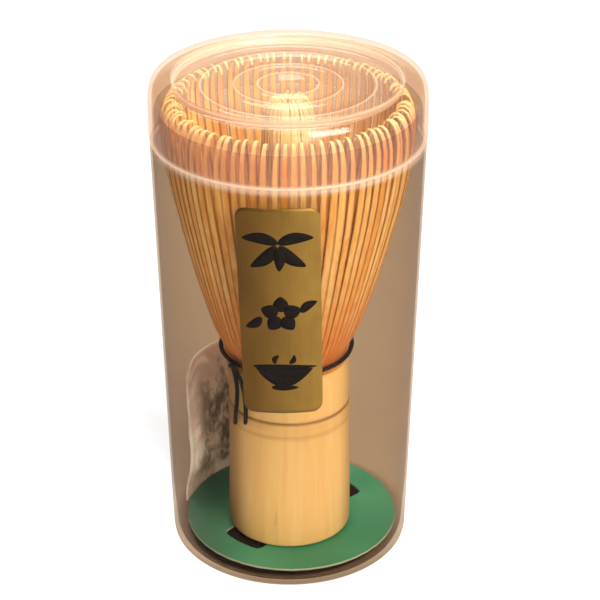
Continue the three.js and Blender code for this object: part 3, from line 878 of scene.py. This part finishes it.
def foilMaterial():
    # brushed gold film: streaks run up and down the label in its own uv map, with blotches
    look = labelLook
    material, tree = newMaterial("gold film")
    uv = node(tree, "ShaderNodeUVMap", uv_map="onLabel").outputs[0]
    streak = stretchedNoise(tree, (1, 0.05, 1), 60, 4, 0.6, source=uv)
    blotch = stretchedNoise(tree, (1, 0.6, 1), 5, 3, source=uv)
    base = mixColour(tree, between(tree, blotch, 0.3, 0.75), look["foil"], look["foilDeep"])
    base = mixColour(tree, between(tree, streak, 0.35, 0.75, 0, 0.3), base, look["foilStreak"])
    across = node(tree, "ShaderNodeSeparateXYZ", {"Vector": uv}).outputs[0]
    # painted shade: the film darkens from its right towards its left side
    paintedLeftShade = between(tree, across, -0.18, 0.17, 1.0, 0.0)
    base = mixColour(tree, paintedLeftShade, base, look["foilShade"], "MULTIPLY")
    values = {"Base Color": base, "Roughness": between(tree, streak, 0.3, 0.7, 0.36, 0.5),
              "Metallic": 0.7, "Specular IOR Level": 0.3, "Normal": addBump(tree, streak, 0.15, 0.0001)}
    finishSurface(tree, node(tree, "ShaderNodeBsdfPrincipled", values).outputs[0])
    return material


def inkMaterial():
    look = labelLook
    material, tree = newMaterial("printed ink")
    place = node(tree, "ShaderNodeTexCoord").outputs["Object"]
    grain = stretchedNoise(tree, (1, 1, 1), 1500, 3, 0.6, source=place)
    base = mixColour(tree, between(tree, grain, 0.4, 0.8, 0, 0.6), look["ink"], look["inkGrain"])
    values = {"Base Color": base, "Roughness": between(tree, grain, 0.3, 0.7, 0.65, 0.8),
              "Specular IOR Level": 0.06, "Normal": addBump(tree, grain, 0.2, 0.0001)}
    finishSurface(tree, node(tree, "ShaderNodeBsdfPrincipled", values).outputs[0])
    return material


def brushStroke(fromPoint, toPoint, width, bend):
    # a brush stroke: the spine is the line plus bend sin(pi t) sideways, the half width is
    # width sin(pi t^0.8)^0.7 / 2; returns a grid of 26 by 3 points in label coordinates
    t = np.linspace(0.0, 1.0, 26)[:, None]
    a, b = np.array(fromPoint, float), np.array(toPoint, float)
    along = (b - a) / np.linalg.norm(b - a)
    sideways = np.array([-along[1], along[0]])
    spine = a + (b - a) * t + sideways * bend * np.sin(math.pi * t)
    half = 0.5 * width * np.sin(math.pi * t ** 0.8).clip(0) ** 0.7 + 0.04
    return np.stack([spine + sideways * half, spine, spine - sideways * half], 1)


def petals(count, inner, outer, width):
    # strokes of one width from the inner to the outer circle, evenly spaced from straight up
    turns = np.radians(90 + 360 / count * np.arange(count))
    ends = [(math.cos(a), math.sin(a)) for a in turns]
    return tuple(((inner * x, inner * y), (outer * x, outer * y), width, 0) for x, y in ends)


# three drawings on the label, each a middle and its strokes: start, end, width and bend in millimetres
inkDrawings = {
    "leaf_spray": ((-0.2, 14.9), (
        ((0.3, 2.3), (-7.5, 3.2), 2.6, -0.7),
        ((0.1, 2.3), (7.7, 3.4), 2.6, 0.7),
        ((-0.1, 1.6), (-5.8, -3.6), 2.8, 0.6),
        ((0.4, 1.6), (6.0, -3.4), 2.8, -0.6),
        ((0.1, 1.2), (0.3, -4.4), 2.4, 0.3),
    )),
    "blossom": ((0.2, -0.2), petals(5, 0.7, 4.5, 3.3) + (
        ((-4.2, -0.8), (-7.8, -3.4), 2.0, 0.4),
        ((4.2, 0.6), (7.8, 3.0), 2.0, 0.4),
    )),
    "tea_bowl": ((0.6, -14.9), (
        ((-7.0, 1.5), (7.2, 1.4), 1.5, 0.0),
        ((-6.3, 0.9), (6.3, 0.9), 2.4, -1.3),
        ((-6.0, 0.6), (6.0, 0.6), 2.4, -2.9),
        ((-3.0, -3.7), (3.0, -3.7), 1.4, 0.0),
        ((-2.2, 2.4), (-1.2, 4.6), 1.1, 0.4),
        ((1.2, 2.4), (2.2, 4.6), 1.1, -0.4),
    )),
}


def makeLabel():
    look = labelLook
    u = np.sin(np.linspace(-math.pi / 2, math.pi / 2, 49)) * look["width"] / 2
    v = np.linspace(-1, 1, 61)
    across = np.ones((61, 1)) * u
    up = v[:, None] * labelHalfHeight(u)
    points, faces = closedSheet(onLabel(across, up, look["thick"]), onLabel(across, up, 0.0))
    piece = meshFromArrays("gold_label", points, faces)
    layer = piece.data.uv_layers.new(name="onLabel")
    flat = np.stack([across.ravel(), up.ravel()], -1) / look["height"]
    loops = np.empty(len(piece.data.loops), int)
    piece.data.loops.foreach_get("vertex_index", loops)
    layer.data.foreach_set("uv", np.vstack([flat, flat])[loops].ravel())
    piece.data.materials.append(foilMaterial())
    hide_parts("label")
    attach(piece, "case")
    ink = inkMaterial()
    for name, (centre, strokes) in inkDrawings.items():
        points, faces, start = [], [], 0
        for number, stroke in enumerate(strokes):
            flat = brushStroke(*stroke) + np.array(centre)
            lift = look["thick"] + 0.01 + 0.004 * number
            back = onLabel(flat[..., 0], flat[..., 1], lift)
            front = onLabel(flat[..., 0], flat[..., 1], lift + 0.02)
            strokePoints, strokeFaces = closedSheet(front, back, start)
            points.append(strokePoints)
            faces += strokeFaces
            start += len(strokePoints)
        drawing = meshFromArrays(f"ink_{name}", np.vstack(points), faces)
        drawing.data.materials.append(ink)
        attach(drawing, "case")
    print("label made")


makeLabel()


sachetLook = {
    "from": 100.0,
    "to": 166.0,
    "bottom": 1.25,
    "height": 39.0,
    "edgeRadius": 26.3,
    "lean": 1.6,
    "roundOff": 0.16,            # share of the height that is lost at the rounded left end
    "seal": 0.3,
    "full": 1.3,
    "sides": (61, 73),           # points across and up each sheet
    "pressure": 4.0,
    "slack": -0.06,              # the film grows by this share while it is blown up, which wrinkles it
    "frames": 20,
    "enlarge": 10.0,             # the cloth is worked out at this many times its size
    "mostMove": 0.9,             # millimetres
    "paper": (0.98, 0.91, 0.88, 1),
    "paperDeep": (0.85, 0.73, 0.68, 1),
    "stainAndShade": (0.09, 0.05, 0.03, 1),
    "topShade": (0.50, 0.40, 0.38, 1),
}


def sachetMaterial():
    # greyish film with fine creases and a bead texture in its bumps; dark clusters are partly stains and
    # partly painted shade, heavier towards the handle
    look = sachetLook
    material, tree = newMaterial("sachet film")
    place = node(tree, "ShaderNodeTexCoord").outputs["Object"]
    crease = stretchedNoise(tree, (1, 1, 0.5), 180, 5, 0.7, source=place)
    cloud = stretchedNoise(tree, (1, 1, 0.7), 75, 4, 0.6, source=place)
    split = node(tree, "ShaderNodeSeparateXYZ", {"Vector": place})
    x, z = split.outputs[0], split.outputs[2]
    bead = node(tree, "ShaderNodeTexVoronoi", {"Vector": place, "Scale": 520.0}).outputs["Distance"]
    base = mixColour(tree, between(tree, crease, 0.35, 0.7), look["paper"], look["paperDeep"])
    stainAndShade = maths(tree, "MULTIPLY", between(tree, cloud, 0.42, 0.55), between(tree, crease, 0.36, 0.56))
    # partly stains, partly painted shade: the dark clusters grow heavier towards the handle
    stainAndShadeByHandle = maths(tree, "MULTIPLY", stainAndShade, between(tree, x, -23 * mm, -19 * mm, 0.25, 0.9))
    base = mixColour(tree, stainAndShadeByHandle, base, look["stainAndShade"])
    high = between(tree, z, 24 * mm, 38 * mm, 0, 0.5)
    base = mixColour(tree, high, base, look["topShade"], "MULTIPLY")
    height = maths(tree, "ADD", crease, maths(tree, "MULTIPLY", bead, -0.5))
    values = {"Base Color": base, "Roughness": between(tree, crease, 0.3, 0.7, 0.45, 0.7),
              "Normal": addBump(tree, height, 0.6, 0.0006), "Subsurface Weight": 0.6,
              "Subsurface Scale": 1.0, "Subsurface Radius": (0.004, 0.0032, 0.0027)}
    finishSurface(tree, node(tree, "ShaderNodeBsdfPrincipled", values).outputs[0])
    return material


def easeStep(value, low, high):
    t = np.clip((value - low) / (high - low), 0, 1)
    return t * t * (3 - 2 * t)


def blownUp(points, faces, held):
    # cloth simulation with pressure inside and no gravity; held points stay put, and no point moves
    # further than mostMove
    look = sachetLook
    enlarge = look["enlarge"]
    mesh = bpy.data.meshes.new("sachetTrial")
    mesh.from_pydata((points * mm * enlarge).tolist(), [], faces)
    trial = bpy.data.objects.new("sachetTrial", mesh)
    bpy.context.scene.collection.objects.link(trial)
    group = trial.vertex_groups.new(name="held")
    group.add(np.flatnonzero(held).tolist(), 1.0, "REPLACE")
    cloth = trial.modifiers.new("cloth", "CLOTH")
    cloth.settings.quality = 5
    cloth.settings.use_pressure = True
    cloth.settings.uniform_pressure_force = look["pressure"]
    cloth.settings.shrink_min = look["slack"]
    cloth.settings.vertex_group_mass = "held"
    cloth.settings.effector_weights.gravity = 0
    cloth.collision_settings.use_collision = False
    scene = bpy.context.scene
    scene.frame_start = 1
    scene.frame_end = look["frames"]
    for step in range(1, look["frames"] + 1):
        scene.frame_set(step)
    solved = trial.evaluated_get(bpy.context.evaluated_depsgraph_get()).to_mesh()
    moved = np.empty(len(solved.vertices) * 3, np.float32)
    solved.vertices.foreach_get("co", moved)
    move = moved.reshape(-1, 3) / (mm * enlarge) - points
    far = np.linalg.norm(move, axis=1)[:, None]
    bpy.data.objects.remove(trial)
    scene.frame_set(1)
    print("sachet blown up, furthest move", round(float(far.max()), 2), "mm")
    return points + move * np.minimum(1, look["mostMove"] / np.maximum(far, 1e-9))


def makeSachet():
    # a pillow bent along the wall: half thickness = seal + full (1 - u^4)(1 - v^6), u and v from -1 to 1
    look = sachetLook
    columns, rows = look["sides"]
    u = np.linspace(-1, 1, columns)[None, :] * np.ones((rows, 1))
    v = np.linspace(-1, 1, rows)[:, None] * np.ones((1, columns))
    shorter = 1 - look["roundOff"] * np.maximum(0, u) ** 7
    height = look["bottom"] + (v + 1) / 2 * look["height"] * shorter
    clear = easeStep(height, 3.1, look["bottom"] + 12)
    full = (1 - u ** 4) * (1 - v ** 6) * clear
    crinkle = 0.25 * np.sin(9 * u + 4 * np.sin(5 * v)) * np.sin(7 * v + 2 * u) * clear
    middle = look["edgeRadius"] - look["lean"] * clear * (1 - 0.5 * np.maximum(0, v))
    angle = np.radians(look["from"] + (look["to"] - look["from"]) * (u + 1) / 2)
    sheets = []
    for way in (1, -1):
        radius = middle + way * (look["seal"] + (look["full"] + crinkle) * full)
        sheets.append(np.stack([radius * np.cos(angle), radius * np.sin(angle), height], -1))
    points, faces = closedSheet(*sheets)
    edge = (np.abs(u) > 0.9) | (np.abs(v) > 0.93) | (height < look["bottom"] + 4)
    points = blownUp(points, faces, np.tile(edge.ravel(), 2))
    piece = meshFromArrays("drying_sachet", points, faces)
    smooth = piece.modifiers.new("smooth", "SUBSURF")
    smooth.levels = 1
    smooth.render_levels = 1
    piece.data.materials.append(sachetMaterial())
    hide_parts("desiccant_sachet")
    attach(piece, "sachet")
    print("sachet made")


makeSachet()


studio = {
    "floorSize": 3.0,                    # metres from the middle to an edge
    "floorColour": (0.74, 0.74, 0.74, 1),
    "world": (1.0, 0.985, 0.97, 1),
    "worldStrength": 0.28,
    "aimAt": (0, 0, 0.06),
    "lights": {
        "key": {"at": (0.54, -0.79, 0.64), "size": 0.6, "power": 16.0},
        "top": {"at": (0.10, -0.40, 0.92), "size": 0.5, "power": 5.0},
        "front": {"at": (0.34, -1.15, 0.30), "size": 0.5, "power": 2.2},
        "back": {"at": (-0.06, 0.42, 1.05), "size": 0.7, "power": 11.5},
    },
}


def makeStudio():
    size = studio["floorSize"]
    corners = np.array([[-size, -size, 0], [size, -size, 0], [size, size, 0], [-size, size, 0]]) / mm
    floor = meshFromArrays("studioFloor", corners - [0, 0, 0.05], [[0, 1, 2, 3]], smooth=False)
    material, tree = newMaterial("pale floor")
    values = {"Base Color": studio["floorColour"], "Roughness": 0.7}
    finishSurface(tree, node(tree, "ShaderNodeBsdfPrincipled", values).outputs[0])
    floor.data.materials.append(material)
    world = bpy.data.worlds.new("studio")
    world.use_nodes = True
    background = world.node_tree.nodes["Background"]
    background.inputs["Color"].default_value = studio["world"]
    background.inputs["Strength"].default_value = studio["worldStrength"]
    bpy.context.scene.world = world
    for name, setting in studio["lights"].items():
        data = bpy.data.lights.new(name, "AREA")
        data.energy = setting["power"]
        data.size = setting["size"]
        lamp = bpy.data.objects.new(name, data)
        lamp.location = setting["at"]
        away = np.array(setting["at"]) - np.array(studio["aimAt"])
        tilt = math.atan2(math.hypot(away[0], away[1]), away[2])
        lamp.rotation_euler = (tilt, 0, math.atan2(away[1], away[0]) + math.pi / 2)
        bpy.context.scene.collection.objects.link(lamp)
    scene = bpy.context.scene
    scene.view_settings.view_transform = "Standard"
    scene.cycles.transparent_max_bounces = 24
    print("studio lit")


makeStudio()
